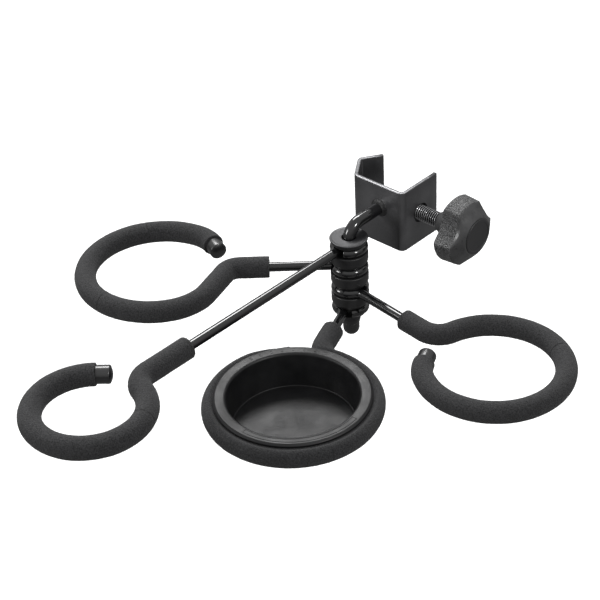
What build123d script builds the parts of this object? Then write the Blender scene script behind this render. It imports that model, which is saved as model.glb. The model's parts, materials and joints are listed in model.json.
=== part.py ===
from build123d import *
import os
from collections import namedtuple
from math import atan2, cos, degrees, radians, sin, sqrt, tan

# Holder for brass-instrument mutes that clamps to the tube of a music stand.
# Frame: origin on the axis of the gripped tube at the height of the clamp screw,
# +Z up the tube, +X along the clamp screw towards its knob.  Millimetres.

# ---------------------------------------------------------------- driving dimensions
tube_radius = 12.5            # the stand tube that the clamp is drawn around
running_gap = 0.05            # radial clearance of every turning fit

# clamp bracket, bent from one strip
strip = 2.5
strip_height = 42.5
strip_bend = 3.0              # radius of the strip's middle surface at each bend
hook_half_angle = 56.0        # each hook face to the screw axis
web_inner_y = -15.4
face_inner_x = 31.0
face_end_y = 16.2
hook_end_y = 13.0
face_hole_radius = 6.5

# pivot shaft and the stack on it
stack_x = 14.5
stack_y = -47.5
shaft_radius = 4.0
shaft_z = 5.0                 # height of the shaft's level run
shaft_bend = 10.5
shaft_end_z = -70.0
level_pitch = 15.0
first_level = -8.5            # middle of the highest eye
eye_gap = 0.2                 # free height above and below each eye
spacer_radius = 12.0
hub_radius = 5.95
disc_radius = 12.1
disc_thickness = 1.2
disc_top_z = -1.8
bend_relief = 0.4             # extra bore radius where the shaft is still bending

# wire arms, foam sleeves and their caps
rod_radius = 3.0
eye_radius = 9.0              # middle of the wire in the eye
eye_exit_bend = 6.0
eye_tail_angle = 23.0
arm_side = -1.2               # the straight of each arm lies this far right of the axis
end_bend = 28.0               # radius of the tighter end of a ring that curls in
foam_bore = rod_radius + running_gap
cap_radius = 5.5
cap_length = 9.7
cap_rounding = 4.6
cap_socket = 7.0
end_cap_radius = 5.3

# accessory cup
cup_flange_radius = 47.5
cup_flange = 2.3
cup_rim_drop = 1.0            # rounded-over outer edge of the flange
cup_rim_width = 1.4
cup_mouth_radius = 39.4
cup_foot_radius = 37.6
cup_wall = 1.1
cup_floor = 1.6
cup_depth = 23.0
cup_seat = 5.65               # underside of the flange above the middle of its ring
foam_seat_gap = 0.3

# clamp screw, pad and knob
screw_radius = 4.95
screw_pin_radius = 3.0
pad_radius = 8.0
pad_face_x = 19.0
pad_rubber = 1.5
pad_back_x = 24.2
screw_shoulder_x = 24.6
nut_start_x = 25.0
nut_across_flats = 16.0
hub_x = 49.5
knob_back_x = 60.3
knob_rim_x = 72.4
knob_front_x = 78.3
knob_radius = 22.2
knob_rim_radius = 21.0
knob_neck_radius = 6.2
knob_root_radius = 11.0
knob_front_radius = 12.3
knob_lobe_angles = (93.0, 213.0, 333.0)
scallop_radius = 20.4
scallop_distance = 36.1
badge_radius = 11.5
badge_thickness = 1.2

# One arm: its level from the top, heading in degrees, and middle of its ring along and to the
# left of the heading. Then the radius of its ring, its neck's bend radius and slant, the
# radius of the shoulder and the angle where it joins the ring, the radius of the foam and the
# distance to it, and three angles about the middle of the ring: foam seam, end of the full
# arc, extra turn of the end.
Arm = namedtuple("Arm", (
    "name level heading reach side ring_radius neck_bend slant shoulder_radius shoulder_end "
    "foam_radius foam_start seam ring_end curl"
))
ARMS = (
    Arm("long", 0, -90.5, 214.8, -1.5, 32.6, 14.0, 70.0, 32.6, 125.0, 6.9, 139.0, 115.0, -139.0, 0.0),
    Arm("left", 1, -138.3, 120.9, -1.0, 45.5, 10.0, 65.0, 33.0, 105.0, 6.9, 50.4, 49.0, -120.0, 34.0),
    Arm("right", 2, -6.7, 122.3, 2.9, 42.5, 14.0, 78.0, 42.5, 90.0, 6.7, 51.0, 66.0, -120.0, 30.0),
    Arm("tray", 3, -68.9, 106.4, 2.4, 47.85, 14.0, 78.5, 47.85, 90.0, 6.9, 29.3, 46.0, -147.0, 0.0),
)

os.makedirs("parts", exist_ok=True)


def save(builder, name):
    builder.part.label = name
    export_step(builder.part, f"parts/{name}.step")


def level_z(level):
    return first_level - level_pitch * level


def stack_plane(z):
    return Plane(origin=(stack_x, stack_y, z))


# ---------------------------------------------------------------- clamp
def clamp_plate():
    """Bracket: screw face, web and V hook from one strip."""
    half = strip / 2
    vertex_x = -(tube_radius + half) / sin(radians(hook_half_angle))
    lean = tan(radians(hook_half_angle))
    web_y = web_inner_y - half
    face_x = face_inner_x + half
    with BuildPart() as plate:
        with BuildSketch(Plane.XY.offset(-strip_height / 2)):
            with BuildLine():
                FilletPolyline(
                    (face_x, face_end_y),
                    (face_x, web_y),
                    (vertex_x - web_y / lean, web_y),
                    (vertex_x, 0),
                    (vertex_x + hook_end_y / lean, hook_end_y),
                    radius=strip_bend,
                )
            trace(line_width=strip)
        extrude(amount=strip_height)
        with Locations(Plane(origin=(face_x, 0, 0), z_dir=(1, 0, 0))):
            Hole(face_hole_radius, depth=3 * strip)
        ends = plate.edges().filter_by(Axis.Z).group_by(Axis.Y)[-1]
        fillet(ends, radius=0.6)
    save(plate, "clamp_plate")


def clamp_nut():
    """Hexagon nut welded inside the screw face."""
    with BuildPart() as nut:
        with BuildSketch(Plane(origin=(nut_start_x, 0, 0), z_dir=(1, 0, 0))):
            RegularPolygon(nut_across_flats / 2, 6, major_radius=False)
            Circle(screw_radius + running_gap, mode=Mode.SUBTRACT)
        extrude(amount=face_inner_x - nut_start_x)
        rims = nut.faces().filter_by(Axis.X)[0].outer_wire().edges()
        chamfer(rims, length=0.8)
    save(nut, "clamp_nut")


def clamp_screw():
    """Screw: pin for the pad, threaded length, end inside the knob."""
    screw_end_x = knob_back_x + 8
    with BuildPart() as screw:
        with BuildSketch(Plane(origin=(screw_shoulder_x, 0, 0), z_dir=(1, 0, 0))):
            Circle(screw_radius)
        extrude(amount=screw_end_x - screw_shoulder_x)
        with BuildSketch(Plane(origin=(screw_shoulder_x, 0, 0), z_dir=(-1, 0, 0))):
            Circle(screw_pin_radius)
        extrude(amount=2.8)
    save(screw, "clamp_screw")


def pressure_pad():
    """Swivel pad carried on the screw's pin."""
    socket_depth = 3.0
    rubber_back_x = pad_face_x + pad_rubber
    with BuildPart() as pad:
        with BuildSketch(Plane(origin=(rubber_back_x, 0, 0), z_dir=(1, 0, 0))):
            Circle(pad_radius)
        extrude(amount=pad_back_x - rubber_back_x)
        with Locations(Plane(origin=(pad_back_x, 0, 0), z_dir=(1, 0, 0))):
            Hole(screw_pin_radius + running_gap, depth=socket_depth)
        chamfer(pad.edges().group_by(Axis.X)[-1].sort_by(SortBy.LENGTH)[-1], length=1.2)
    save(pad, "pressure_pad")
    with BuildPart() as rubber:
        with BuildSketch(Plane(origin=(pad_face_x, 0, 0), z_dir=(1, 0, 0))):
            Circle(pad_radius)
        extrude(amount=pad_rubber)
        fillet(rubber.edges().group_by(Axis.X)[0], radius=0.5)
    save(rubber, "pad_rubber")


def knob():
    """Three-lobed hand knob with a conical hub and a sloping front."""
    with BuildPart() as body:
        with BuildSketch(Plane.XZ):
            with BuildLine():
                Polyline(
                    (hub_x, 0),
                    (hub_x, knob_neck_radius),
                    (knob_back_x, knob_root_radius),
                    (knob_back_x, knob_radius - 1.5),
                    (knob_back_x + 1.5, knob_radius),
                    (knob_rim_x, knob_rim_radius),
                    (knob_front_x, knob_front_radius),
                    (knob_front_x, 0),
                    close=True,
                )
            make_face()
        revolve(axis=Axis.X)
        with BuildSketch(Plane(origin=(knob_back_x, 0, 0), x_dir=(0, 1, 0), z_dir=(1, 0, 0))):
            for lobe in knob_lobe_angles:
                with PolarLocations(scallop_distance, 1, start_angle=lobe + 60):
                    Circle(scallop_radius)
        extrude(amount=knob_front_x - knob_back_x, mode=Mode.SUBTRACT)
        with Locations(Plane(origin=(hub_x, 0, 0), z_dir=(-1, 0, 0))):
            Hole(screw_radius + running_gap, depth=knob_back_x + 8.2 - hub_x)
        with Locations(Plane(origin=(knob_front_x, 0, 0), z_dir=(1, 0, 0))):
            Hole(badge_radius + running_gap, depth=badge_thickness / 2)
    save(body, "knob")
    with BuildPart() as badge:
        with BuildSketch(Plane(origin=(knob_front_x - badge_thickness / 2, 0, 0), z_dir=(1, 0, 0))):
            Circle(badge_radius)
        extrude(amount=badge_thickness)
        fillet(badge.edges().group_by(Axis.X)[-1], radius=0.4)
    save(badge, "knob_badge")


# ---------------------------------------------------------------- pivot stack
def pivot_shaft():
    """Shaft: level run from the web, one bend, then straight down through the stack."""
    web_y = web_inner_y - strip
    with BuildPart() as shaft:
        with BuildLine() as route:
            FilletPolyline(
                (stack_x, web_y, shaft_z),
                (stack_x, stack_y, shaft_z),
                (stack_x, stack_y, shaft_end_z),
                radius=shaft_bend,
            )
        with BuildSketch(Plane(origin=(stack_x, web_y, shaft_z), z_dir=(0, -1, 0))):
            Circle(shaft_radius)
        sweep(path=route.wires()[0])
    save(shaft, "pivot_shaft")
    bead = 2.4
    with BuildPart() as weld:
        with BuildSketch(Plane(origin=(stack_x, web_y, shaft_z), x_dir=(1, 0, 0), z_dir=(0, 0, 1))):
            with BuildLine():
                Line((shaft_radius, 0), (shaft_radius + bead, 0))
                RadiusArc((shaft_radius + bead, 0), (shaft_radius, -bead), bead * 1.3)
                Line((shaft_radius, -bead), (shaft_radius, 0))
            make_face()
        revolve(axis=Axis((stack_x, web_y, shaft_z), (0, 1, 0)))
    save(weld, "shaft_weld")


def ring_on_stack(name, z_low, z_high, outer, bore, edge=0.3):
    """Flat ring around the pivot shaft."""
    with BuildPart() as ring:
        with BuildSketch(stack_plane(z_low)):
            Circle(outer)
            Circle(bore, mode=Mode.SUBTRACT)
        extrude(amount=z_high - z_low)
        rims = ring.edges().filter_by(GeomType.CIRCLE).group_by(SortBy.RADIUS)[-1]
        chamfer(rims, length=edge)
    save(ring, name)


def turned_on_stack(name, profile):
    """Piece of revolution about the stack axis from (radius, height) points."""
    with BuildPart() as piece:
        with BuildSketch(Plane(origin=(stack_x, stack_y, 0), x_dir=(1, 0, 0), z_dir=(0, -1, 0))):
            with BuildLine():
                Polyline(*profile, close=True)
            make_face()
        revolve(axis=Axis((stack_x, stack_y, 0), (0, 0, 1)))
    save(piece, name)


def hubbed_spacer(name, level):
    """Spacer below an eye, with the hub that the eye turns on."""
    top = level_z(level) - rod_radius - eye_gap
    bottom = level_z(level + 1) + rod_radius + eye_gap
    hub_top = level_z(level) + rod_radius + eye_gap
    bore = shaft_radius + running_gap
    turned_on_stack(name, (
        (bore, bottom), (spacer_radius - 1.5, bottom), (spacer_radius, bottom + 2.6),
        (spacer_radius, top - 0.5), (spacer_radius - 0.5, top), (hub_radius, top),
        (hub_radius, hub_top), (bore, hub_top),
    ))


def stack_top():
    """Pressed disc and the washer between it and the highest eye."""
    disc_low = disc_top_z - disc_thickness
    ring_on_stack("stop_disc", disc_low, disc_top_z, disc_radius, shaft_radius + 2 * bend_relief)
    washer_low = level_z(0) + rod_radius + eye_gap
    ring_on_stack("top_washer", washer_low, disc_low, spacer_radius - 1, shaft_radius + bend_relief)


def stack_bottom():
    """Hubbed seat, spring washer, collar nut and end cap under the lowest eye."""
    lowest = len(ARMS) - 1
    bore = shaft_radius + running_gap
    seat_top = level_z(lowest) - rod_radius - eye_gap
    seat_low = seat_top - 2.8
    hub_top = level_z(lowest) + rod_radius + eye_gap
    washer_low = seat_low - 1.5
    nut_low = washer_low - 4.5
    turned_on_stack("bottom_seat", (
        (bore, seat_low), (7.0, seat_low), (9.8, seat_top - 0.6), (9.8, seat_top),
        (hub_radius, seat_top), (hub_radius, hub_top), (bore, hub_top),
    ))
    ring_on_stack("spring_washer", washer_low, seat_low, 6.6, bore)
    turned_on_stack("collar_nut", (
        (bore, nut_low), (5.6, nut_low), (6.3, washer_low - 1.2), (6.3, washer_low), (bore, washer_low),
    ))
    with BuildPart() as cap:
        with BuildSketch(stack_plane(nut_low)):
            Circle(end_cap_radius)
        extrude(amount=shaft_end_z - nut_low)
        with Locations(stack_plane(shaft_end_z)):
            Sphere(end_cap_radius, arc_size2=0, align=None)
        with BuildSketch(stack_plane(nut_low)):
            Circle(bore)
        extrude(amount=shaft_end_z - nut_low, mode=Mode.SUBTRACT)
    save(cap, "end_cap")


# ---------------------------------------------------------------- arms
def arm_plane(arm):
    turn = radians(arm.heading)
    return Plane(
        origin=(stack_x, stack_y, level_z(arm.level)),
        x_dir=(cos(turn), sin(turn), 0),
        z_dir=(0, 0, 1),
    )


def point_at(middle, radius, turn):
    """Point in the plane of the arm at a distance and an angle from another."""
    return middle[0] + radius * cos(radians(turn)), middle[1] + radius * sin(radians(turn))


def shoulder_middle(arm):
    inset = arm.ring_radius - arm.shoulder_radius
    return point_at((arm.reach, arm.side), inset, arm.shoulder_end)


def neck_corner(arm, touch):
    """Where the straight of the arm and the slanting line through touch would meet."""
    return touch[0] - (touch[1] - arm_side) / tan(radians(arm.slant)), arm_side


def draw_neck(arm, start):
    """Straight of the arm from start, bend, slanting line and the shoulder that joins the ring."""
    middle = shoulder_middle(arm)
    shoulder_start = 90 + arm.slant
    touch = point_at(middle, arm.shoulder_radius, shoulder_start)
    corner = neck_corner(arm, touch)
    bend_reach = arm.neck_bend * tan(radians(arm.slant) / 2)
    bend_start = corner[0] - bend_reach
    Line((start, arm_side), (bend_start, arm_side))
    CenterArc((bend_start, arm_side + arm.neck_bend), arm.neck_bend, -90, arm.slant)
    Line(point_at(corner, bend_reach, arm.slant), touch)
    CenterArc(middle, arm.shoulder_radius, shoulder_start, arm.shoulder_end - shoulder_start)


def draw_ring(arm, start, end):
    CenterArc((arm.reach, arm.side), arm.ring_radius, start, end - start)


def end_arc(arm):
    """Middle and radius of the arc that ends the ring."""
    if not arm.curl:
        return (arm.reach, arm.side), arm.ring_radius
    return point_at((arm.reach, arm.side), arm.ring_radius - end_bend, arm.ring_end), end_bend


def draw_ring_to_end(arm, start):
    draw_ring(arm, start, arm.ring_end)
    if arm.curl:
        middle, radius = end_arc(arm)
        CenterArc(middle, radius, arm.ring_end, -arm.curl)


def wire_end(arm):
    """Where the foam ends, and the angle at which the wire's stub goes on."""
    middle, radius = end_arc(arm)
    turn = arm.ring_end - arm.curl
    return point_at(middle, radius, turn), turn - 90


def tube_along(route, outer, bore=0):
    with BuildSketch(Plane(origin=route @ 0, z_dir=route % 0)) as section:
        Circle(outer)
        if bore:
            Circle(bore, mode=Mode.SUBTRACT)
    sweep(section.sketch, path=route)


def arm_rod(arm):
    """One wire: eye around the hub, straight, neck and open ring."""
    exit_side = arm_side - eye_exit_bend
    exit_reach = sqrt((eye_radius + eye_exit_bend) ** 2 - exit_side**2)
    exit_turn = degrees(atan2(exit_side, exit_reach))
    with BuildPart() as rod:
        with BuildLine(arm_plane(arm)) as route:
            CenterArc((0, 0), eye_radius, eye_tail_angle, 360 + exit_turn - eye_tail_angle)
            CenterArc((exit_reach, exit_side), eye_exit_bend, 180 + exit_turn, -90 - exit_turn)
            draw_neck(arm, exit_reach)
            draw_ring_to_end(arm, arm.shoulder_end)
            foam_end, onward = wire_end(arm)
            Line(foam_end, point_at(foam_end, cap_socket - running_gap, onward))
        tube_along(route.wires()[0], rod_radius)
    save(rod, f"rod_{arm.name}")


def arm_foam(arm):
    """Two foam sleeves: one over the neck, one over the rest of the ring."""
    with BuildPart() as neck:
        with BuildLine(arm_plane(arm)) as route:
            draw_neck(arm, arm.foam_start)
            draw_ring(arm, arm.shoulder_end, arm.seam)
        tube_along(route.wires()[0], arm.foam_radius, foam_bore)
        if arm.name == "tray":
            cut_cup_seat(arm)
    save(neck, f"foam_neck_{arm.name}")
    with BuildPart() as ring:
        with BuildLine(arm_plane(arm)) as route:
            draw_ring_to_end(arm, arm.seam)
        tube_along(route.wires()[0], arm.foam_radius, foam_bore)
        if arm.name == "tray":
            cut_cup_seat(arm)
    save(ring, f"foam_ring_{arm.name}")


def ring_plane(arm, height=0):
    frame = arm_plane(arm)
    centre = frame.from_local_coords((arm.reach, arm.side, height))
    return Plane(origin=centre, x_dir=frame.x_dir, z_dir=(0, 0, 1))


def cut_cup_seat(arm):
    """Level seat pressed into the foam by the flange of the cup."""
    with BuildSketch(ring_plane(arm, cup_seat - foam_seat_gap)) as seat:
        Circle(arm.ring_radius + 2 * arm.foam_radius)
    extrude(seat.sketch, amount=arm.foam_radius, mode=Mode.SUBTRACT)


def tip_cap(arm):
    """Domed cap on the free end of the wire."""
    foam_end, onward = wire_end(arm)
    frame = arm_plane(arm)
    start = frame.from_local_coords(foam_end)
    along = frame.from_local_coords(point_at(foam_end, 1, onward)) - start
    with BuildPart() as cap:
        with BuildSketch(Plane(origin=start, z_dir=along)):
            Circle(cap_radius)
        extrude(amount=cap_length)
        fillet(cap.faces().sort_by(Axis(start, along))[-1].edges(), radius=cap_rounding)
        with BuildSketch(Plane(origin=start, z_dir=along)):
            Circle(rod_radius + running_gap)
        extrude(amount=cap_socket, mode=Mode.SUBTRACT)
    save(cap, f"tip_cap_{arm.name}")


# ---------------------------------------------------------------- cup
def tray_cup(arm):
    """Lift-out cup whose flange rests on the foam of the lowest ring."""
    top = cup_seat + cup_flange
    floor = top - cup_depth
    lip = 1.4
    with BuildPart() as cup:
        with BuildSketch(Plane(origin=ring_plane(arm).origin, x_dir=(1, 0, 0), z_dir=(0, -1, 0))):
            with BuildLine():
                Polyline(
                    (0, floor - cup_floor),
                    (cup_foot_radius + cup_wall - 1.5, floor - cup_floor),
                    (cup_foot_radius + cup_wall, floor - cup_floor + 1.5),
                    (cup_mouth_radius + cup_wall, cup_seat),
                    (cup_flange_radius, cup_seat),
                    (cup_flange_radius, top - cup_rim_drop),
                    (cup_flange_radius - cup_rim_width, top),
                    (cup_mouth_radius + lip, top),
                    (cup_mouth_radius, top - lip),
                    (cup_foot_radius, floor),
                    (0, floor),
                    close=True,
                )
            make_face()
        revolve(axis=Axis(ring_plane(arm).origin, (0, 0, 1)))
    save(cup, "tray_cup")


# ---------------------------------------------------------------- build
clamp_plate()
clamp_nut()
clamp_screw()
pressure_pad()
knob()
pivot_shaft()
stack_top()
for lower_level in range(len(ARMS) - 1):
    hubbed_spacer(f"spacer_{lower_level + 1}", lower_level)
stack_bottom()
for one_arm in ARMS:
    arm_rod(one_arm)
    arm_foam(one_arm)
    tip_cap(one_arm)
tray_cup(ARMS[-1])
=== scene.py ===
"""Looks for a mute holder that clamps to the tube of a music stand.

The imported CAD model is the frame.  Shapes are drawn in millimetres, with the CAD source's own
sizes, and a mesh is scaled to metres when its object is made.
"""

import json
import math
from collections import namedtuple

import bmesh
import bpy
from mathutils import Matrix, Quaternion, Vector, noise

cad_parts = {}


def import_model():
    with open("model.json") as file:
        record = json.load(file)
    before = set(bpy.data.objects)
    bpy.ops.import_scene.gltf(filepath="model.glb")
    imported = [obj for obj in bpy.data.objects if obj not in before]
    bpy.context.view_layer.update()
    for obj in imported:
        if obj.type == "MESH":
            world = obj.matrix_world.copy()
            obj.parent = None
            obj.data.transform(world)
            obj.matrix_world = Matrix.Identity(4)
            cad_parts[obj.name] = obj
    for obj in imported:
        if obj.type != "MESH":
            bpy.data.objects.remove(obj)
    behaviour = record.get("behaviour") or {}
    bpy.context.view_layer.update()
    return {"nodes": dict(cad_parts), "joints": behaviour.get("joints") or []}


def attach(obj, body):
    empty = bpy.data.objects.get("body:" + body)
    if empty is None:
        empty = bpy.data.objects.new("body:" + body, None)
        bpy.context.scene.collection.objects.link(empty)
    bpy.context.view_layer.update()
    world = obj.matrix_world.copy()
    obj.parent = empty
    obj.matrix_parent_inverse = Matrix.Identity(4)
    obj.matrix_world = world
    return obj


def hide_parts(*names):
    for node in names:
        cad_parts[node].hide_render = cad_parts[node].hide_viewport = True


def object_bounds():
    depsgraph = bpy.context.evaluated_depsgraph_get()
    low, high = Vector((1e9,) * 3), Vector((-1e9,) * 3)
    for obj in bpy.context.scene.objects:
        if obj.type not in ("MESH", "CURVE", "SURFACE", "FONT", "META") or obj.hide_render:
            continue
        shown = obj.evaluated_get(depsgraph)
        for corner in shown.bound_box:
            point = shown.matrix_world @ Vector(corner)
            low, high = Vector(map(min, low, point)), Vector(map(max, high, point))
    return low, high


MM = 0.001

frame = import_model()

UP = Vector((0, 0, 1))

# ---------------------------------------------------------------- sizes shared with the CAD
TUBE_RADIUS = 12.5
RUNNING_GAP = 0.05

STRIP = 2.5
STRIP_HALF_HEIGHT = 21.25
STRIP_BEND = 3.0
HOOK_HALF_ANGLE = 56.0
WEB_INNER_Y = -15.4
FACE_INNER_X = 31.0
FACE_END_Y = 16.2
HOOK_END_Y = 13.0
FACE_HOLE_RADIUS = 6.5

STACK_X, STACK_Y = (1000 * c for c in frame["joints"][0]["pos_m"][:2])
SHAFT_RADIUS = 4.0
SHAFT_Z = 5.0
SHAFT_BEND = 10.5
SHAFT_END_Z = -70.0
LEVEL_PITCH = 15.0
FIRST_LEVEL = -8.5
EYE_GAP = 0.2
SPACER_RADIUS = 12.0
HUB_RADIUS = 5.95
DISC_RADIUS = 12.1
DISC_THICKNESS = 1.2
DISC_TOP_Z = -1.8
BEND_RELIEF = 0.4
BORE = 4.05
SEAT_HEIGHT = 2.8
SEAT_RADIUS = 9.8
SEAT_FOOT_RADIUS = 7.0
SPRING_HEIGHT = 1.5
SPRING_RADIUS = 6.6
NUT_HEIGHT = 4.5
NUT_RADIUS = 6.3
NUT_FOOT_RADIUS = 5.6

ROD_RADIUS = 3.0
EYE_RADIUS = 9.0
EYE_EXIT_BEND = 6.0
EYE_TAIL_ANGLE = 23.0
ARM_SIDE = -1.2
END_BEND = 28.0
FOAM_BORE = 3.05
CAP_RADIUS = 5.5
CAP_LENGTH = 9.7
CAP_SOCKET = 7.0
END_CAP_RADIUS = 5.3

CUP_FLANGE_RADIUS = 47.5
CUP_SEAT = 5.65
CUP_TOP = 7.95
CUP_MOUTH_RADIUS = 39.4
CUP_FOOT_RADIUS = 37.6
CUP_WALL = 1.1
CUP_FLOOR = 1.6
CUP_DEPTH = 23.0
CUP_RIM_DROP = 1.0
CUP_RIM_WIDTH = 1.4

SCREW_RADIUS = 4.95
SCREW_PIN_RADIUS = 3.0
SCREW_SHOULDER_X = 24.6
PAD_RADIUS = 8.0
PAD_FACE_X = 19.0
PAD_RUBBER = 1.5
PAD_BACK_X = 24.2
HUB_X = 49.5
KNOB_BACK_X = 60.3
KNOB_RIM_X = 72.4
KNOB_FRONT_X = 78.3
KNOB_RADIUS = 22.2
KNOB_RIM_RADIUS = 21.0
KNOB_NECK_RADIUS = 6.2
KNOB_FRONT_RADIUS = 12.3
KNOB_LOBES = (93.0, 213.0, 333.0)
SCALLOP_RADIUS = 20.4
SCALLOP_DISTANCE = 36.1
BADGE_RADIUS = 11.5
BADGE_THICKNESS = 1.2
BADGE_RECESS = 0.6

Arm = namedtuple("Arm", (
    "name level heading reach side ring_radius neck_bend slant shoulder_radius shoulder_end "
    "foam_radius foam_start seam ring_end curl"
))
ARMS = (
    Arm("long", 0, -90.5, 214.8, -1.5, 32.6, 14.0, 70.0, 32.6, 125.0, 6.9, 139.0, 115.0,
        -139.0, 0.0),
    Arm("left", 1, -138.3, 120.9, -1.0, 45.5, 10.0, 65.0, 33.0, 105.0, 6.9, 50.4, 49.0,
        -120.0, 34.0),
    Arm("right", 2, -6.7, 122.3, 2.9, 42.5, 14.0, 78.0, 42.5, 90.0, 6.7, 51.0, 66.0,
        -120.0, 30.0),
    Arm("tray", 3, -68.9, 106.4, 2.4, 47.85, 14.0, 78.5, 47.85, 90.0, 6.9, 29.3, 46.0,
        -147.0, 0.0),
)
TRAY = ARMS[-1]

# ---------------------------------------------------------------- sizes of the looks alone
ROD_EDGE = 0.5             # rounding of a wire's plain end
STRIP_EDGE = 0.45          # rounding of the strip's cut edges
EDGE_EASE = 0.3            # middle point of such a rounding, as a share of its size
CAP_DOME = 1.5             # height of the shallow dome on an arm's cap
CAP_DOME_STEPS = 8

FOAM_EDGE = 0.5            # rounding of a sleeve's cut ends
FOAM_STEP = 1.6            # spacing of a sleeve's rings
FOAM_AROUND = 44           # points in each ring of a sleeve
FOAM_SLACK = 0.06          # the uneven skin lies this far inside the sleeve's own radius
# Heights of the skin's noise, and how fast it changes per millimetre.
LUMP_HEIGHT, LUMP_RATE = 0.10, 0.10
DIMPLE_HEIGHT, DIMPLE_RATE = 0.05, 0.55
RAGGED_HEIGHT, RAGGED_RATE = 0.35, 0.45
RAGGED_REACH = 3.0         # length of a sleeve's end that is cut unevenly
THINNING_REACH = 16.0      # length over which a sleeve gets thinner towards its last end
TRAY_THINNING = 1.3
DENT_DEPTH = 1.5           # the flange's dent starts this far under the cup's seat
DENT_SOFTNESS = 1.2        # the most that foam over the dent's start still stands up
DENT_MARGIN = 0.3          # full dent this far past the flange, and none DENT_REACH further out
DENT_REACH = 3.0
NECK_SEED_STEP, RING_SEED_OFFSET = 11.0, 3.7

MARK_HEIGHT = 0.2          # raised marks above the flange
MARK_BEVEL = 0.08
MARK_STEP = 1.5            # degrees between the sections of a mark


def level_z(level):
    """Height of the middle of the eye at a level, counted from the top."""
    return FIRST_LEVEL - LEVEL_PITCH * level


def eye_top(level):
    """Height at which the piece above an eye starts."""
    return level_z(level) + ROD_RADIUS + EYE_GAP


def eye_bottom(level):
    """Height at which the piece below an eye starts."""
    return level_z(level) - ROD_RADIUS - EYE_GAP


# ---------------------------------------------------------------- materials
COAT_ROUGHNESS = 0.12
SHEEN_ROUGHNESS = 0.6
LOWEST_ROUGHNESS = 0.03
NOISE_LOW, NOISE_HIGH = 0.3, 0.7


def material(name, colour, roughness, metallic=0.0, mottle=0.12, mottle_size=9.0, wear=0.06,
             grain=0.3, grain_size=0.4, grain_height=0.05, coat=0.0, sheen=0.0, specular=0.5):
    """Principled surface with broad colour mottling, uneven roughness and a fine bumpy grain.

    Sizes are millimetres on the object.  A look's name is also the slot that its pieces take.
    """
    made = bpy.data.materials.new(name)
    made["slot"] = name
    made.use_nodes = True
    nodes, links = made.node_tree.nodes, made.node_tree.links
    shader = nodes["Principled BSDF"]
    shader.inputs["Metallic"].default_value = metallic
    shader.inputs["Coat Weight"].default_value = coat
    shader.inputs["Coat Roughness"].default_value = COAT_ROUGHNESS
    shader.inputs["Sheen Weight"].default_value = sheen
    shader.inputs["Sheen Roughness"].default_value = SHEEN_ROUGHNESS
    shader.inputs["Specular IOR Level"].default_value = specular

    place = nodes.new("ShaderNodeTexCoord")
    scaled = nodes.new("ShaderNodeMapping")
    scaled.inputs["Scale"].default_value = (1 / MM,) * 3
    links.new(place.outputs["Object"], scaled.inputs["Vector"])

    def speckle(size, detail):
        cloud = nodes.new("ShaderNodeTexNoise")
        cloud.inputs["Scale"].default_value = 1 / size
        cloud.inputs["Detail"].default_value = detail
        links.new(scaled.outputs["Vector"], cloud.inputs["Vector"])
        return cloud

    def spread(value, lowest, highest):
        ramp = nodes.new("ShaderNodeMapRange")
        ramp.inputs["From Min"].default_value = NOISE_LOW
        ramp.inputs["From Max"].default_value = NOISE_HIGH
        ramp.inputs["To Min"].default_value = lowest
        ramp.inputs["To Max"].default_value = highest
        links.new(value, ramp.inputs["Value"])
        return ramp.outputs["Result"]

    broad = speckle(mottle_size, detail=3.0)
    fine = speckle(grain_size, detail=2.0)

    blend = nodes.new("ShaderNodeMix")
    blend.data_type = "FLOAT"
    blend.inputs["Factor"].default_value = grain
    links.new(broad.outputs["Fac"], blend.inputs["A"])
    links.new(fine.outputs["Fac"], blend.inputs["B"])

    shade = nodes.new("ShaderNodeMix")
    shade.data_type = "RGBA"
    shade.inputs["A"].default_value = (*(c * (1 - mottle) for c in colour), 1)
    shade.inputs["B"].default_value = (*(c * (1 + mottle) for c in colour), 1)
    links.new(spread(blend.outputs["Result"], 0.0, 1.0), shade.inputs["Factor"])
    links.new(shade.outputs["Result"], shader.inputs["Base Color"])

    smoothest, roughest = max(roughness - wear, LOWEST_ROUGHNESS), min(roughness + wear, 1.0)
    links.new(spread(broad.outputs["Fac"], smoothest, roughest), shader.inputs["Roughness"])

    bump = nodes.new("ShaderNodeBump")
    bump.inputs["Strength"].default_value = 1.0
    bump.inputs["Distance"].default_value = grain_height * MM
    links.new(fine.outputs["Fac"], bump.inputs["Height"])
    links.new(bump.outputs["Normal"], shader.inputs["Normal"])
    return made


FOAM = material("foam", (0.022, 0.022, 0.023), 0.95, mottle=0.75, mottle_size=7.0,
                grain=0.88, grain_size=0.75, grain_height=0.55, sheen=0.08, specular=0.25)
GLOSS = material("gloss_black", (0.006, 0.006, 0.0065), 0.11, wear=0.03,
                 grain_size=1.6, grain_height=0.003, coat=0.5)
SATIN = material("bracket_black", (0.15, 0.15, 0.155), 0.32, metallic=0.85, mottle=0.30,
                 mottle_size=28.0, grain=0.20, grain_size=0.8, grain_height=0.020)
WELD = material("gloss_black", (0.010, 0.010, 0.0105), 0.42, wear=0.1,
                grain_size=1.3, grain_height=0.30)
DISC = material("disc_grey", (0.030, 0.030, 0.032), 0.36, metallic=0.5, mottle=0.15,
                grain_size=0.3, grain_height=0.006)
SPACER = material("spacer_grey", (0.012, 0.012, 0.0125), 0.38,
                  grain_size=0.35, grain_height=0.02)
DARK_STEEL = material("dark_steel", (0.03, 0.03, 0.032), 0.38, metallic=0.5,
                      grain_size=0.4, grain_height=0.01)
CAP = material("cap_black", (0.010, 0.010, 0.0105), 0.30, wear=0.06,
               grain_size=0.8, grain_height=0.02, specular=0.8)
CUP = material("cup_black", (0.005, 0.005, 0.0055), 0.46, mottle=0.25,
               grain_size=0.7, grain_height=0.05, specular=0.36)
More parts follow.
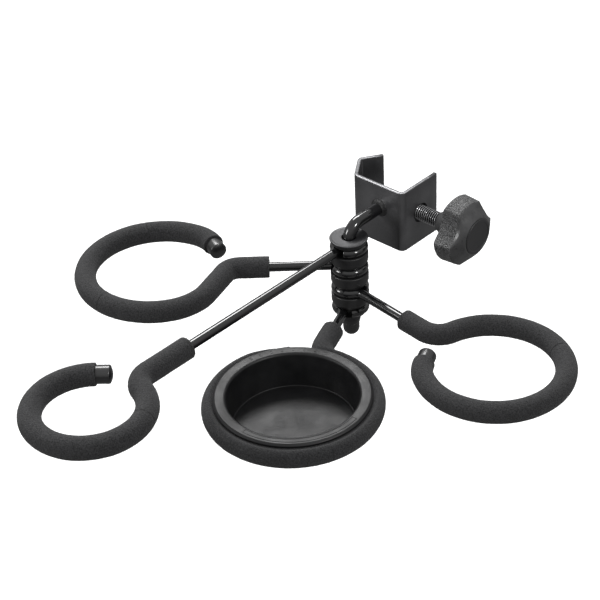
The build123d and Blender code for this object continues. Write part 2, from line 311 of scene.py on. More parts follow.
THREAD = material("screw_black", (0.018, 0.018, 0.019), 0.34, metallic=0.5, wear=0.08,
                  grain_size=0.5, grain_height=0.01)
# Light grey metal for the thread's crests: a painted highlight where the crests catch the light.
CREST_HIGHLIGHT = material("screw_black", (0.50, 0.50, 0.51), 0.26, metallic=0.9, wear=0.06,
                 grain_size=0.5, grain_height=0.006)
KNOB = material("knob_grey", (0.056, 0.056, 0.057), 0.38, mottle=0.95, mottle_size=5.0,
                grain=0.85, grain_size=0.9, grain_height=0.90)
KNOB_SMOOTH = material("knob_grey", (0.050, 0.050, 0.051), 0.30, mottle=0.30, mottle_size=5.0,
                       grain_size=0.6, grain_height=0.05)
BADGE = material("badge_grey", (0.020, 0.020, 0.021), 0.42, grain_size=0.4, grain_height=0.02)
RUBBER = material("pad_rubber", (0.014, 0.014, 0.015), 0.85, grain_size=0.4, grain_height=0.05)


# ---------------------------------------------------------------- mesh helpers
WELD_DISTANCE = 1e-7       # metres


def piece(name, points, faces, look, body, stands_for=(), sharp=40.0):
    """Mesh object from points in millimetres, riding on a body and taking its look's slot."""
    mesh = bpy.data.meshes.new(name)
    mesh.from_pydata([tuple(c * MM for c in p) for p in points], [], faces)
    shape = bmesh.new()
    shape.from_mesh(mesh)
    bmesh.ops.remove_doubles(shape, verts=shape.verts, dist=WELD_DISTANCE)
    bmesh.ops.recalc_face_normals(shape, faces=shape.faces)
    shape.to_mesh(mesh)
    shape.free()
    mesh.materials.append(look)
    mesh.shade_smooth()
    mesh.set_sharp_from_angle(angle=math.radians(sharp))
    made = bpy.data.objects.new(name, mesh)
    bpy.context.scene.collection.objects.link(made)
    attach(made, body)
    if stands_for:
        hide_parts(*stands_for)
    return made


class Path:
    """Straight runs and arcs in one plane; at(s) is the place and the direction there."""

    def __init__(self, origin, x_dir, normal):
        self.origin = Vector(origin)
        self.x = Vector(x_dir).normalized()
        self.up = Vector(normal).normalized()
        self.y = self.up.cross(self.x)
        self.runs = []
        self.length = 0.0

    def place(self, u, w):
        """Point of the plane at u along its first direction and w along its second."""
        return self.origin + self.x * u + self.y * w

    def line(self, start, end):
        length = math.dist(start, end)
        self.runs.append((self.length, length, None, (start, end)))
        self.length += length
        return self

    def arc(self, middle, radius, start, sweep):
        length = radius * math.radians(abs(sweep))
        self.runs.append((self.length, length, radius, (middle, start, sweep)))
        self.length += length
        return self

    def at(self, s):
        run = next((r for r in reversed(self.runs) if r[0] <= s), self.runs[0])
        begin, length, radius, shape = run
        share = (s - begin) / length
        if radius is None:
            start, end = (self.place(*p) for p in shape)
            return start.lerp(end, share), (end - start).normalized()
        middle, first, sweep = shape
        turn = math.radians(first + sweep * share)
        spot = self.place(middle[0] + radius * math.cos(turn), middle[1] + radius * math.sin(turn))
        ahead = (self.y * math.cos(turn) - self.x * math.sin(turn)) * math.copysign(1, sweep)
        return spot, ahead

    def stops(self, run_step=1e9, arc_step=3.0):
        """Distances for a smooth skin: runs cut every run_step, arcs every arc_step degrees."""
        marks = [0.0]
        for begin, length, radius, shape in self.runs:
            wanted = length / run_step
            if radius is not None:
                wanted = max(wanted, abs(shape[2]) / arc_step)
            count = max(1, math.ceil(wanted))
            marks += [begin + length * k / count for k in range(1, count + 1)]
        return marks


def capped_tube(rows):
    """Quads between rows of equally many points, and a face on each end."""
    count = len(rows[0])
    faces = [
        [a[k], a[(k + 1) % count], b[(k + 1) % count], b[k]]
        for a, b in zip(rows, rows[1:]) for k in range(count)
    ]
    return faces + [list(rows[0]), list(rows[-1])]


def straight(origin, direction):
    """Path along a straight axis, for turned pieces."""
    direction = Vector(direction)
    return Path(origin, direction, direction.orthogonal()).line((0, 0), (1, 0))


def skin(path, rings, around, closed=False, shift=None):
    """Points and faces of the skin through (distance along the path, radius) rings."""
    points, faces, rows = [], [], []
    for s, radius in rings:
        middle, ahead = path.at(s)
        side = path.up.cross(ahead)
        steps = around if radius > 0 else 1
        rows.append(range(len(points), len(points) + steps))
        for k in range(steps):
            turn = math.tau * k / around
            out = side * math.cos(turn) + path.up * math.sin(turn)
            spot = middle + out * radius
            points.append(shift(spot, out, ahead, s, radius) if shift else spot)
    pairs = list(zip(rows, rows[1:]))
    if closed:
        pairs.append((rows[-1], rows[0]))
    for a, b in pairs:
        for k in range(around):
            n = (k + 1) % around
            ring = [a[k % len(a)], a[n % len(a)], b[n % len(b)], b[k % len(b)]]
            face = list(dict.fromkeys(ring))
            if len(face) > 2:
                faces.append(face)
    return points, faces


def rounded(corners, steps=5):
    """Polyline through (a, b, fillet) corners, with each fillet drawn as an arc."""
    line = []
    for k, (a, b, fillet) in enumerate(corners):
        here = Vector((a, b))
        if not fillet:
            line.append((a, b))
            continue
        back = (Vector(corners[k - 1][:2]) - here).normalized()
        on = (Vector(corners[(k + 1) % len(corners)][:2]) - here).normalized()
        half = math.acos(max(-1.0, min(1.0, back.dot(on)))) / 2
        reach = fillet / math.tan(half)
        middle = here + (back + on).normalized() * (fillet / math.sin(half))
        first, last = here + back * reach - middle, here + on * reach - middle
        for j in range(steps + 1):
            spoke = first.slerp(last, j / steps)
            line.append(tuple(middle + spoke * fillet))
    return line


def turned(name, origin, direction, corners, look, body, stands_for=(), around=72,
           closed=False, shift=None):
    """Piece of revolution from (distance, radius, fillet) corners along an axis."""
    rings = [(s, max(r, 0.0)) for s, r in rounded(corners)]
    points, faces = skin(straight(origin, direction), rings, around, closed, shift)
    return piece(name, points, faces, look, body, stands_for)


# ---------------------------------------------------------------- arms
def arm_origin(arm):
    """Middle of the arm's eye, and the direction in which the arm points."""
    turn = math.radians(arm.heading)
    return (STACK_X, STACK_Y, level_z(arm.level)), (math.cos(turn), math.sin(turn), 0)


def ring_middle(arm):
    """Middle of the arm's open ring."""
    return Path(*arm_origin(arm), UP).place(arm.reach, arm.side)


def shoulder_middle(arm):
    """Middle of the arc that leads from the neck into the ring."""
    turn = math.radians(arm.shoulder_end)
    inset = arm.ring_radius - arm.shoulder_radius
    return Vector((arm.reach + inset * math.cos(turn), arm.side + inset * math.sin(turn)))


def end_arc(arm):
    """Middle and radius of the arc that ends the ring."""
    if not arm.curl:
        return (arm.reach, arm.side), arm.ring_radius
    turn = math.radians(arm.ring_end)
    inset = arm.ring_radius - END_BEND
    return (arm.reach + inset * math.cos(turn), arm.side + inset * math.sin(turn)), END_BEND


def wire_end(arm):
    """Where the foam ends, and the direction in which the wire's stub goes on."""
    middle, radius = end_arc(arm)
    turn = math.radians(arm.ring_end - arm.curl)
    spot = (middle[0] + radius * math.cos(turn), middle[1] + radius * math.sin(turn))
    return spot, (math.sin(turn), -math.cos(turn))


def add_neck(path, arm, start):
    """Straight of the arm from start, bend, slanting line and the shoulder that joins the ring."""
    slant = math.radians(arm.slant)
    bend_reach = arm.neck_bend * math.tan(slant / 2)
    middle = shoulder_middle(arm)
    touch = middle + Vector((-math.sin(slant), math.cos(slant))) * arm.shoulder_radius
    corner = Vector((touch.x - (touch.y - ARM_SIDE) / math.tan(slant), ARM_SIDE))
    bend_start = corner - Vector((bend_reach, 0))
    bend_end = corner + Vector((math.cos(slant), math.sin(slant))) * bend_reach
    path.line((start, ARM_SIDE), tuple(bend_start))
    path.arc((bend_start.x, ARM_SIDE + arm.neck_bend), arm.neck_bend, -90, arm.slant)
    path.line(tuple(bend_end), tuple(touch))
    shoulder_start = 90 + arm.slant
    path.arc(tuple(middle), arm.shoulder_radius, shoulder_start, arm.shoulder_end - shoulder_start)


def add_ring(path, arm, start, end):
    """Part of the ring between two angles."""
    path.arc((arm.reach, arm.side), arm.ring_radius, start, end - start)


def add_ring_to_end(path, arm, start):
    """Rest of the ring from an angle on, with the tighter end of a ring that curls in."""
    add_ring(path, arm, start, arm.ring_end)
    if arm.curl:
        path.arc(*end_arc(arm), arm.ring_end, -arm.curl)


def arm_rod(arm):
    """Painted wire: eye around the hub, straight, neck and open ring."""
    exit_side = ARM_SIDE - EYE_EXIT_BEND
    exit_reach = math.sqrt((EYE_RADIUS + EYE_EXIT_BEND) ** 2 - exit_side**2)
    exit_turn = math.degrees(math.atan2(exit_side, exit_reach))
    path = Path(*arm_origin(arm), UP)
    path.arc((0, 0), EYE_RADIUS, EYE_TAIL_ANGLE, 360 + exit_turn - EYE_TAIL_ANGLE)
    path.arc((exit_reach, exit_side), EYE_EXIT_BEND, 180 + exit_turn, -90 - exit_turn)
    add_neck(path, arm, exit_reach)
    add_ring_to_end(path, arm, arm.shoulder_end)
    spot, onward = wire_end(arm)
    path.line(spot, tuple(a + b * CAP_SOCKET for a, b in zip(spot, onward)))
    eased = ROD_EDGE * EDGE_EASE
    rings = [
        (0, 0), (0, ROD_RADIUS - ROD_EDGE), (eased, ROD_RADIUS - eased), (ROD_EDGE, ROD_RADIUS),
    ]
    rings += [(s, ROD_RADIUS) for s in path.stops() if ROD_EDGE < s < path.length - ROD_EDGE]
    rings += [(path.length, ROD_RADIUS), (path.length, 0)]
    points, faces = skin(path, rings, around=32)
    piece(f"wire_{arm.name}", points, faces, GLOSS, f"{arm.name}_arm", [f"rod_{arm.name}"])


def foam_shift(arm, length, seed, thin_end):
    """Soft unevenness of a foam sleeve: lumps, ragged cut ends, and the dent under the cup.

    The sleeve loses thin_end of its radius towards its last end.
    """
    level = level_z(arm.level)
    middle = ring_middle(arm)
    dent = CUP_SEAT - DENT_DEPTH
    inner_part = arm.foam_radius * 0.6

    def shift(spot, out, ahead, s, radius):
        if radius < inner_part:
            return spot
        lumps = LUMP_HEIGHT * noise.noise(spot * LUMP_RATE + seed)
        dimples = DIMPLE_HEIGHT * noise.noise(spot * DIMPLE_RATE + seed)
        thinning = thin_end * max(0.0, 1 - (length - s) / THINNING_REACH)
        spot = spot + out * (lumps + dimples - FOAM_SLACK - thinning)
        near_end = min(s, length - s)
        if near_end < RAGGED_REACH:
            ragged = RAGGED_HEIGHT * noise.noise(spot * RAGGED_RATE + seed * 2)
            spot = spot + ahead * (ragged * (1 - near_end / RAGGED_REACH))
        if arm is TRAY:
            over = spot.z - level - dent
            away = math.hypot(spot.x - middle.x, spot.y - middle.y)
            beyond = away - CUP_FLANGE_RADIUS - DENT_MARGIN
            pressed = min(1.0, max(0.0, 1 - beyond / DENT_REACH))
            if over > 0 and pressed > 0:
                squeezed = DENT_SOFTNESS * (1 - math.exp(-over / DENT_SOFTNESS))
                flat = level + dent + squeezed
                spot.z += (flat - spot.z) * pressed * pressed * (3 - 2 * pressed)
        return spot

    return shift


def foam_sleeve(name, arm, path, stands_for, seed, thin_end=0.0):
    """Foam tube pushed over the wire, with soft cut ends."""
    outer = arm.foam_radius
    half_way = (FOAM_BORE + outer) / 2
    quarter = [math.radians(a) for a in (90, 67.5, 45, 22.5, 0)]
    start = [
        (FOAM_EDGE * (1 - math.sin(a)), outer - FOAM_EDGE * (1 - math.cos(a))) for a in quarter
    ]
    end = [(path.length - s, r) for s, r in reversed(start)]
    clear = FOAM_EDGE * 1.3
    stops = path.stops(run_step=FOAM_STEP, arc_step=math.degrees(FOAM_STEP / arm.ring_radius))
    rings = [(0, FOAM_BORE), (0, half_way), *start]
    rings += [(s, outer) for s in stops if clear < s < path.length - clear]
    rings += [*end, (path.length, half_way), (path.length, FOAM_BORE)]
    rings += [(s, FOAM_BORE) for s in reversed(path.stops(arc_step=5.0)[1:-1])]
    shift = foam_shift(arm, path.length, Vector((seed, seed * 0.7, 0)), thin_end)
    points, faces = skin(path, rings, FOAM_AROUND, closed=True, shift=shift)
    made = piece(name, points, faces, FOAM, f"{arm.name}_arm", stands_for, sharp=70.0)


def arm_foam(arm, seed):
    """Neck sleeve up to the seam, and ring sleeve from there to the cap."""
    neck = Path(*arm_origin(arm), UP)
    add_neck(neck, arm, arm.foam_start)
    add_ring(neck, arm, arm.shoulder_end, arm.seam)
    foam_sleeve(f"neck_foam_{arm.name}", arm, neck, [f"foam_neck_{arm.name}"], seed)
    ring = Path(*arm_origin(arm), UP)
    add_ring_to_end(ring, arm, arm.seam)
    thin_end = TRAY_THINNING if arm is TRAY else 0.0
    foam_sleeve(f"ring_foam_{arm.name}", arm, ring, [f"foam_ring_{arm.name}"],
                seed + RING_SEED_OFFSET, thin_end)


def tip_cap(arm):
    """Glossy cap with a shallow dome, on the free end of the wire."""
    base = Path(*arm_origin(arm), UP)
    spot, onward = wire_end(arm)
    origin = base.place(*spot)
    direction = base.x * onward[0] + base.y * onward[1]
    bore = ROD_RADIUS + RUNNING_GAP
    curve = (CAP_RADIUS**2 + CAP_DOME**2) / (2 * CAP_DOME)
    dome = [
        (CAP_LENGTH - curve + math.sqrt(curve**2 - r**2), r, 0)
        for r in (CAP_RADIUS * k / CAP_DOME_STEPS for k in reversed(range(CAP_DOME_STEPS)))
    ]
    corners = [
        (CAP_SOCKET, 0, 0), (CAP_SOCKET, bore, 0), (0, bore, 0), (0, CAP_RADIUS, 0.4),
        (CAP_LENGTH - CAP_DOME, CAP_RADIUS, 0.6), *dome,
    ]
    turned(f"cap_{arm.name}", origin, direction, corners, CAP, f"{arm.name}_arm",
           [f"tip_cap_{arm.name}"])


# ---------------------------------------------------------------- stack
def on_stack(name, corners, look, stands_for, **extra):
    """Turned piece about the stack axis, from (height, radius, fillet) corners."""
    return turned(name, (STACK_X, STACK_Y, 0), UP, corners, look, "frame", stands_for, **extra)


def pivot_shaft():
    """Bent rod from the web down through the stack, and its rough weld bead."""
    web_y = WEB_INNER_Y - STRIP
    sunk = 0.3
    path = Path((STACK_X, 0, 0), (0, -1, 0), (-1, 0, 0))
    path.line((-web_y - sunk, SHAFT_Z), (-STACK_Y - SHAFT_BEND, SHAFT_Z))
    path.arc((-STACK_Y - SHAFT_BEND, SHAFT_Z - SHAFT_BEND), SHAFT_BEND, 90, -90)
    path.line((-STACK_Y, SHAFT_Z - SHAFT_BEND), (-STACK_Y, SHAFT_END_Z))
    rings = [(0, 0)] + [(s, SHAFT_RADIUS) for s in path.stops()] + [(path.length, 0)]
    points, faces = skin(path, rings, around=48)
    piece("shaft", points, faces, GLOSS, "frame", ["pivot_shaft"])

    lump_height, lump_rate = 0.35, 0.6

    def lumpy(spot, out, ahead, s, radius):
        return spot + out * lump_height * noise.noise(spot * lump_rate)

    bead = 2.2
    inside = SHAFT_RADIUS - 0.2
    corners = [
        (0, inside, 0), (0, SHAFT_RADIUS + bead, 0), (0.35, SHAFT_RADIUS + bead - 0.1, 0),
        (1.1, SHAFT_RADIUS + 0.9, 1.2), (bead, SHAFT_RADIUS + 0.15, 0), (bead, inside, 0),
    ]
    turned("weld", (STACK_X, web_y, SHAFT_Z), (0, -1, 0), corners, WELD, "frame", ["shaft_weld"],
           closed=True, shift=lumpy)


def stack():
    """Disc, washers, hubbed spacers, seat, nut and end cap."""
    disc_low = DISC_TOP_Z - DISC_THICKNESS
    disc_bore = BORE + 2 * BEND_RELIEF
    dish, rim = DISC_TOP_Z - 0.25, DISC_RADIUS - 1.6
    on_stack("disc", [
        (disc_low, disc_bore, 0), (disc_low, DISC_RADIUS, 0.35), (DISC_TOP_Z, DISC_RADIUS, 0.5),
        (dish, rim, 0.8), (dish, disc_bore, 0),
    ], DISC, ["stop_disc"], closed=True)
    washer_low = eye_top(0)
    washer_bore = BORE + BEND_RELIEF
    edge = SPACER_RADIUS - 1
    on_stack("washer", [
        (washer_low, washer_bore, 0), (washer_low, edge, 0.4),
        (disc_low, edge, 0.4), (disc_low, washer_bore, 0),
    ], SPACER, ["top_washer"], closed=True)
    shoulder, foot_inset = 2.6, 1.5
    for lower in range(len(ARMS) - 1):
        top, bottom, hub_top = eye_bottom(lower), eye_top(lower + 1), eye_top(lower)
        on_stack(f"spacer_ring_{lower + 1}", [
            (bottom, BORE, 0), (bottom, SPACER_RADIUS - foot_inset, 0.5),
            (bottom + shoulder, SPACER_RADIUS, 1.5), (top, SPACER_RADIUS, 0.6),
            (top, HUB_RADIUS, 0), (hub_top, HUB_RADIUS, 0.3), (hub_top, BORE, 0),
        ], SPACER, [f"spacer_{lower + 1}"], closed=True)
    last = len(ARMS) - 1
    seat_top, hub_top = eye_bottom(last), eye_top(last)
    seat_low = seat_top - SEAT_HEIGHT
    spring_low = seat_low - SPRING_HEIGHT
    nut_low = spring_low - NUT_HEIGHT
    seat_rim, nut_rim = seat_top - 0.6, spring_low - 1.2
    on_stack("seat", [
        (seat_low, BORE, 0), (seat_low, SEAT_FOOT_RADIUS, 0.6), (seat_rim, SEAT_RADIUS, 0.4),
        (seat_top, SEAT_RADIUS, 0.2), (seat_top, HUB_RADIUS, 0), (hub_top, HUB_RADIUS, 0.3),
        (hub_top, BORE, 0),
    ], SPACER, ["bottom_seat"], closed=True)
    on_stack("spring_ring", [
        (spring_low, BORE, 0), (spring_low, SPRING_RADIUS, 0.3), (seat_low, SPRING_RADIUS, 0.3),
        (seat_low, BORE, 0),
    ], DARK_STEEL, ["spring_washer"], closed=True)
    on_stack("nut_collar", [
        (nut_low, BORE, 0), (nut_low, NUT_FOOT_RADIUS, 0.4), (nut_rim, NUT_RADIUS, 0.8),
        (spring_low, NUT_RADIUS, 0.3), (spring_low, BORE, 0),
    ], SPACER, ["collar_nut"], closed=True)
    dome = [
        (SHAFT_END_Z - END_CAP_RADIUS * math.sin(a), END_CAP_RADIUS * math.cos(a), 0)
        for a in (math.radians(8 * k) for k in range(11))
    ]
    on_stack("shaft_cap", [
        (SHAFT_END_Z, 0, 0), (SHAFT_END_Z, BORE, 0), (nut_low, BORE, 0),
        (nut_low, END_CAP_RADIUS, 0.5), *dome, (SHAFT_END_Z - END_CAP_RADIUS, 0, 0),
    ], CAP, ["end_cap"])


# ---------------------------------------------------------------- bracket
BRACKET_SHARP = 50.0


def bracket_path():
    """Middle line of the bent strip, from the screw face's free end to the hook's."""
    half = STRIP / 2
    lean = math.tan(math.radians(HOOK_HALF_ANGLE))
    vertex_x = -(TUBE_RADIUS + half) / math.sin(math.radians(HOOK_HALF_ANGLE))
    web_y, face_x = WEB_INNER_Y - half, FACE_INNER_X + half
    corners = [
        (face_x, FACE_END_Y), (face_x, web_y), (vertex_x - web_y / lean, web_y),
        (vertex_x, 0), (vertex_x + HOOK_END_Y / lean, HOOK_END_Y),
    ]
    path = Path((0, 0, 0), (1, 0, 0), UP)
    at = corners[0]
    for here, after in zip(corners[1:-1], corners[2:]):
        back = (Vector(at) - Vector(here)).normalized()
        on = (Vector(after) - Vector(here)).normalized()
        half_angle = math.acos(back.dot(on)) / 2
        reach = STRIP_BEND / math.tan(half_angle)
        middle = Vector(here) + (back + on).normalized() * (STRIP_BEND / math.sin(half_angle))
        first = Vector(here) + back * reach
        spoke = first - middle
        path.line(at, tuple(first))
        turn = math.degrees(math.pi - 2 * half_angle) * -math.copysign(1, back.cross(on))
        path.arc(tuple(middle), STRIP_BEND, math.degrees(math.atan2(spoke.y, spoke.x)), turn)
        at = tuple(Vector(here) + on * reach)
    return path.line(at, corners[-1])


def bracket():
    """Bent strip with rounded cut edges and the screw's clearance hole."""
    path = bracket_path()
    half, tall, edge = STRIP / 2, STRIP_HALF_HEIGHT, STRIP_EDGE
    eased = edge * EDGE_EASE
    section = rounded([
        (half, tall, edge), (-half, tall, edge), (-half, -tall, edge), (half, -tall, edge),
    ], steps=3)
    points, rows = [], []
    stops = path.stops(run_step=8.0, arc_step=6.0)
    layers = [(0, edge), (eased, eased), (edge, 0)]
    layers += [(s, 0) for s in stops if edge < s < path.length - edge]
    layers += [(path.length - edge, 0), (path.length - eased, eased), (path.length, edge)]
    for s, inset in layers:
        middle, ahead = path.at(s)
        side = UP.cross(ahead)
        rows.append(range(len(points), len(points) + len(section)))
        for across, height in section:
            across -= math.copysign(inset, across)
            height -= math.copysign(inset, height)
            points.append(middle + side * across + UP * height)
    plate = piece("bracket", points, capped_tube(rows), SATIN, "frame", ["clamp_plate"],
                  sharp=BRACKET_SHARP)
    bore_hole(plate)


def bore_hole(plate):
    """Cuts the screw's hole through the face with a boolean, applied to the mesh."""
    before, length = 1.0, 4.6
    rings = [(0, 0), (0, FACE_HOLE_RADIUS), (length, FACE_HOLE_RADIUS), (length, 0)]
    points, faces = skin(straight((FACE_INNER_X - before, 0, 0), (1, 0, 0)), rings, around=64)
    drill = piece("drill", points, faces, SATIN, "frame")
    cut = plate.modifiers.new("hole", "BOOLEAN")
    cut.object = drill
    cut.operation = "DIFFERENCE"
    cut.solver = "EXACT"
    bpy.context.view_layer.update()
    graph = bpy.context.evaluated_depsgraph_get()
    done = bpy.data.meshes.new_from_object(plate.evaluated_get(graph))
    plate.modifiers.clear()
    plate.data = done
    done.shade_smooth()
    done.set_sharp_from_angle(angle=math.radians(BRACKET_SHARP))
    bpy.data.objects.remove(drill)


# ---------------------------------------------------------------- clamp screw, pad and knob
def clamp_screw():
    """Threaded rod with a real right-hand helix and a painted highlight on its crests, and the pin
    that carries the pad.
    """
    pitch, depth, around = 1.5, 0.85, 48
    start, end, step = SCREW_SHOULDER_X, 62.0, 0.125
    lead_in, lead_drop = 1.2, 0.5
    flank_slope, crest_width = 1.35, 0.18
    points, rows = [], []
    count = round((end - start) / step)
    for k in range(count + 1):
        x = start + step * k
        fade = min(1.0, (x - start) / lead_in)
        rows.append(range(len(points), len(points) + around))
        for j in range(around):
            turn = math.tau * j / around
            phase = (x / pitch - j / around) % 1.0
            flank = min(1.0, max(0.0, abs(phase - 0.5) * 2 * flank_slope - crest_width))
            radius = SCREW_RADIUS - depth * flank * fade - lead_drop * (1 - fade)
            points.append(Vector((x, radius * math.cos(turn), radius * math.sin(turn))))
    rod = piece("threaded_rod", points, capped_tube(rows), THREAD, "screw", ["clamp_screw"],
                sharp=70.0)
    rod.data.materials.append(CREST_HIGHLIGHT)
    # Faces on the crests take the painted highlight; the flanks stay dark.
    bright_radius, bright_x = SCREW_RADIUS - 0.2, start + 1
    for face in rod.data.polygons:
        crest = math.hypot(face.center.y, face.center.z) > bright_radius * MM
        face.material_index = int(crest and face.center.x > bright_x * MM)
    sunk, pin_length = 0.3, 2.8
    turned("screw_pin", (start, 0, 0), (-1, 0, 0), [
        (-sunk, 0, 0), (-sunk, SCREW_PIN_RADIUS, 0),
        (pin_length, SCREW_PIN_RADIUS, 0.4), (pin_length, 0, 0),
    ], THREAD, "screw")


def smooth_min(a, b, soft):
    """Lower of a and b, rounded over where they meet."""
    blend = max(soft - abs(a - b), 0.0) / soft
    return min(a, b) - blend * blend * soft / 4


def knob_radius(turn, cone):
    """Radius of the knob at an angle, where its turned outline has radius cone."""
    to_scallop = 180 / len(KNOB_LOBES)
    gaps = [abs((turn - lobe - to_scallop + 180) % 360 - 180) for lobe in KNOB_LOBES]
    off = math.radians(min(gaps))
    chord = SCALLOP_RADIUS**2 - (SCALLOP_DISTANCE * math.sin(off)) ** 2
    if chord <= 0:
        return cone
    wall = SCALLOP_DISTANCE * math.cos(off) - math.sqrt(chord)
    return smooth_min(cone, wall, soft=2.2)


def knob():
    """Three-lobed moulded knob with a conical hub, sloping front and plain badge."""
    recess_x, recess_radius = KNOB_FRONT_X - BADGE_RECESS, BADGE_RADIUS + RUNNING_GAP
    outline = rounded([
        (HUB_X, 5.2, 0), (HUB_X, KNOB_NECK_RADIUS, 0.5), (KNOB_BACK_X - 3, 9.5, 2.0),
        (KNOB_BACK_X, 11.5, 1.0), (KNOB_BACK_X, KNOB_RADIUS - 0.3, 1.6),
        (KNOB_RIM_X, KNOB_RIM_RADIUS, 1.5), (KNOB_FRONT_X, KNOB_FRONT_RADIUS, 0.6),
        (KNOB_FRONT_X, recess_radius, 0), (recess_x, recess_radius, 0),
    ], steps=6)
    dense, spacing = [], 0.8
    for (xa, ra), (xb, rb) in zip(outline, outline[1:]):
        cuts = max(1, math.ceil(math.dist((xa, ra), (xb, rb)) / spacing))
        dense += [(xa + (xb - xa) * k / cuts, ra + (rb - ra) * k / cuts) for k in range(cuts)]
    dense.append(outline[-1])
    around = 180
    points, rows = [], []
    for x, cone in dense:
        rows.append(range(len(points), len(points) + around))
        for k in range(around):
            turn = math.tau * k / around
            reach = knob_radius(math.degrees(turn), cone)
            points.append(Vector((x, reach * math.cos(turn), reach * math.sin(turn))))
    made = piece("hand_knob", points, capped_tube(rows), KNOB, "screw", ["knob"], sharp=60.0)
    made.data.materials.append(KNOB_SMOOTH)
    grip_from, grip_to = KNOB_BACK_X - 0.2, KNOB_RIM_X + 0.6
    for face in made.data.polygons:
        x = face.center.x / MM
        face.material_index = int(x < grip_from or x > grip_to)
    dish, rim, slope = BADGE_THICKNESS - 0.25, BADGE_RADIUS - 1.6, 0.3
    turned("badge", (recess_x, 0, 0), (1, 0, 0), [
        (0, 0, 0), (0, BADGE_RADIUS, 0), (BADGE_THICKNESS, BADGE_RADIUS, 0.45),
        (BADGE_THICKNESS, rim, 0.2), (dish, rim - slope, 0.2), (dish, 0, 0),
    ], BADGE, "screw", ["knob_badge"], around=120)


def pad():
    """Swivel pad and its rubber face."""
    back = PAD_BACK_X - PAD_FACE_X
    socket, bore = back - 3.0, SCREW_PIN_RADIUS + RUNNING_GAP
    turned("pad_shell", (PAD_FACE_X, 0, 0), (1, 0, 0), [
        (socket, 0, 0), (socket, bore, 0), (back, bore, 0), (back, PAD_RADIUS - 0.9, 0.4),
        (back - 1.1, PAD_RADIUS, 0.4), (PAD_RUBBER, PAD_RADIUS, 0.2), (PAD_RUBBER, 0, 0),
    ], THREAD, "pad", ["pressure_pad"])
    rubber = turned("pad_facing", (PAD_FACE_X, 0, 0), (1, 0, 0), [
        (PAD_RUBBER, 0, 0), (PAD_RUBBER, PAD_RADIUS, 0), (0, PAD_RADIUS, 0.6),
        (0, 2.0, 0.5), (0.3, 0, 0),
    ], RUBBER, "pad", ["pad_rubber"])


# ---------------------------------------------------------------- cup
def cup():
    """Lift-out cup with a rounded lip and a wide flange."""
    inner_floor = CUP_TOP - CUP_DEPTH
    outer_floor, groove = inner_floor - CUP_FLOOR, inner_floor - 0.15
    corners = [
        (outer_floor, 0, 0), (outer_floor, CUP_FOOT_RADIUS + CUP_WALL, 1.5),
        (CUP_SEAT, CUP_MOUTH_RADIUS + CUP_WALL, 0.5), (CUP_SEAT, CUP_FLANGE_RADIUS, 0.4),
        (CUP_TOP - CUP_RIM_DROP, CUP_FLANGE_RADIUS, 0.6),
        (CUP_TOP, CUP_FLANGE_RADIUS - CUP_RIM_WIDTH, 0.8),
        (CUP_TOP, CUP_MOUTH_RADIUS + 0.3, 1.9), (inner_floor, CUP_FOOT_RADIUS, 0.5),
        (groove, CUP_FOOT_RADIUS - 0.9, 0.3), (inner_floor, CUP_FOOT_RADIUS - 1.6, 0.4),
        (inner_floor, 0, 0),
    ]
    turned("cup_shell", ring_middle(TRAY), UP, corners, CUP, "cup", ["tray_cup"], around=180)
    cup_marks()


def bar_on_flange(first, last, inner, outer):
    """Low raised bar on the flange, between two angles and two radii."""
    steps = max(1, math.ceil(abs(last - first) / MARK_STEP))
    middle = ring_middle(TRAY)
    base, edge = CUP_TOP - 0.1, min(0.2, (outer - inner) / 3)
    top = CUP_TOP + MARK_HEIGHT
    side_top = top - MARK_BEVEL
    section = [
        (inner, base), (inner, side_top), (inner + edge, top),
        (outer - edge, top), (outer, side_top), (outer, base),
    ]
    points, rows = [], []
    for k in range(steps + 1):
        turn = math.radians(first + (last - first) * k / steps)
        rows.append(range(len(points), len(points) + len(section)))
        points += [middle + Vector((r * math.cos(turn), r * math.sin(turn), z)) for r, z in section]
    return points, capped_tube(rows)


def cup_marks():
    """Plain raised marks on the flange: radial ticks far off, an empty frame at the near side."""
    far, tick_pitch, tick_half = 136.5, 9.0, 0.9
    ticks = [far + tick_pitch * k for k in (-3.5, -2.5, -1.5, -0.5, 0.5, 1.5, 2.5, 3.5)]
    bars = [(tick - tick_half, tick + tick_half, 42.3, 44.6) for tick in ticks]
    near, half, inner, outer, line = 320.0, 48.0, 41.6, 44.9, 0.5
    start, end = near - half, near + half
    bars += [(start, end, inner, inner + line), (start, end, outer - line, outer)]
    turn = math.degrees(line / inner)
    bars += [(side - turn / 2, side + turn / 2, inner, outer) for side in (start, end)]
    points, faces = [], []
    for bar in bars:
        more, added = bar_on_flange(*bar)
        faces += [[v + len(points) for v in face] for face in added]
        points += more
    piece("flange_marks", points, faces, CUP, "cup", sharp=30.0)


# ---------------------------------------------------------------- build
bracket()
pivot_shaft()
stack()
clamp_screw()
knob()
pad()
for number, one_arm in enumerate(ARMS):
    arm_rod(one_arm)
    arm_foam(one_arm, NECK_SEED_STEP * number)
    tip_cap(one_arm)
cup()

# The clamp's nut keeps its CAD shape and takes the bracket's look.
nut = frame["nodes"]["clamp_nut"]
nut.data.materials.clear()
nut.data.materials.append(SATIN)

# ---------------------------------------------------------------- floor, light and camera
# Lengths are metres and angles degrees; the lens is in millimetres.
FLOOR_DROP = 0.20
FLOOR_REACH = 14.0
FLOOR_COLOUR = (0.93, 0.93, 0.93, 1)
DIM_BELOW, BRIGHT_ABOVE = 0.22, 0.70
DIM_UP_TO, BRIGHT_FROM = -0.35, 0.75
CAMERA_PLACE = (0.62535, -0.72629, 0.58772)
CAMERA_AZIMUTH, CAMERA_ELEVATION, CAMERA_ROLL = 44.0, 34.85, -2.94
SENSOR_WIDTH, FOCAL_LENGTH = 36.0, 105.05

low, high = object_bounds()
centre = (low + high) / 2


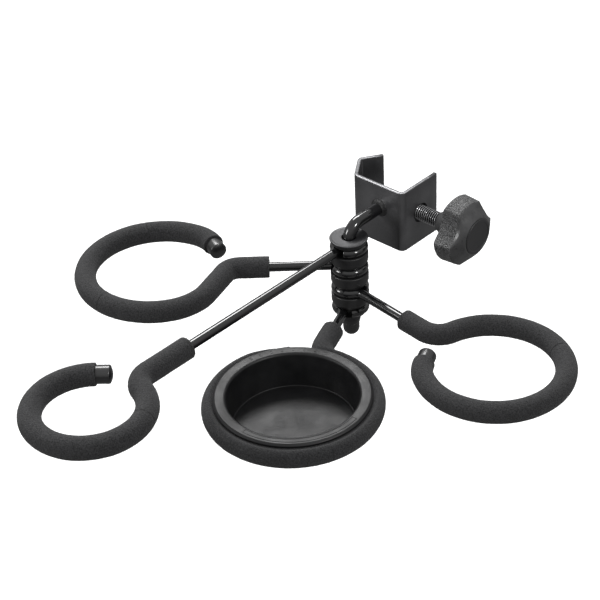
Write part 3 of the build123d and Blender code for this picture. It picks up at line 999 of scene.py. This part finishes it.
def towards(azimuth, elevation):
    """Unit vector from the object towards a place at azimuth and elevation in degrees."""
    a, e = math.radians(azimuth), math.radians(elevation)
    return Vector((math.sin(a) * math.cos(e), -math.cos(a) * math.cos(e), math.sin(e)))


def floor():
    """Wide pale floor, well below the object."""
    z = low.z - FLOOR_DROP
    signs = ((-1, -1), (1, -1), (1, 1), (-1, 1))
    corners = [(x * FLOOR_REACH, y * FLOOR_REACH, z) for x, y in signs]
    mesh = bpy.data.meshes.new("floor")
    mesh.from_pydata(corners, [], [(0, 1, 2, 3)])
    made = bpy.data.objects.new("floor", mesh)
    bpy.context.scene.collection.objects.link(made)
    paint = bpy.data.materials.new("floor")
    paint.use_nodes = True
    shader = paint.node_tree.nodes["Principled BSDF"]
    shader.inputs["Base Color"].default_value = FLOOR_COLOUR
    shader.inputs["Roughness"].default_value = 0.9
    shader.inputs["Specular IOR Level"].default_value = 0.1
    mesh.materials.append(paint)
    made.visible_diffuse = False
    made.visible_glossy = False


def softbox(name, azimuth, elevation, distance, size, radiance):
    """Rectangular area light that looks at the object."""
    back = towards(azimuth, elevation)
    lamp = bpy.data.lights.new(name, "AREA")
    lamp.shape = "RECTANGLE"
    lamp.size, lamp.size_y = size
    lamp.energy = radiance * math.pi * size[0] * size[1]
    made = bpy.data.objects.new(name, lamp)
    made.location = centre + back * distance
    made.rotation_euler = (-back).to_track_quat("-Z", "Y").to_euler()
    bpy.context.scene.collection.objects.link(made)


def world():
    """Bright surroundings above, falling off to dim ones below."""
    made = bpy.data.worlds.new("studio")
    made.use_nodes = True
    nodes, links = made.node_tree.nodes, made.node_tree.links
    place = nodes.new("ShaderNodeTexCoord")
    split = nodes.new("ShaderNodeSeparateXYZ")
    fall = nodes.new("ShaderNodeMapRange")
    fall.interpolation_type = "SMOOTHSTEP"
    fall.inputs["From Min"].default_value = DIM_UP_TO
    fall.inputs["From Max"].default_value = BRIGHT_FROM
    fall.inputs["To Min"].default_value = DIM_BELOW
    fall.inputs["To Max"].default_value = BRIGHT_ABOVE
    links.new(place.outputs["Generated"], split.inputs["Vector"])
    links.new(split.outputs["Z"], fall.inputs["Value"])
    links.new(fall.outputs["Result"], nodes["Background"].inputs["Strength"])
    nodes["Background"].inputs["Color"].default_value = (1, 1, 1, 1)
    bpy.context.scene.world = made
    bpy.context.scene.view_settings.view_transform = "Standard"


def camera():
    """Long lens that looks down from the front right."""
    back = towards(CAMERA_AZIMUTH, CAMERA_ELEVATION)
    lens = bpy.data.cameras.new("camera")
    lens.sensor_width = SENSOR_WIDTH
    lens.lens = FOCAL_LENGTH
    lens.clip_start, lens.clip_end = 0.05, 60.0
    made = bpy.data.objects.new("camera", lens)
    made.location = CAMERA_PLACE
    made.rotation_mode = "QUATERNION"
    roll = Quaternion((0, 0, 1), math.radians(CAMERA_ROLL))
    made.rotation_quaternion = (-back).to_track_quat("-Z", "Y") @ roll
    bpy.context.scene.collection.objects.link(made)
    bpy.context.scene.camera = made


floor()
world()
softbox("back", 233, 47, distance=1.7, size=(0.95, 0.5), radiance=15.0)
softbox("left", -36, 24, distance=1.7, size=(0.5, 0.6), radiance=13.0)
softbox("right", 92, 38, distance=1.7, size=(0.25, 0.35), radiance=36.0)
camera()
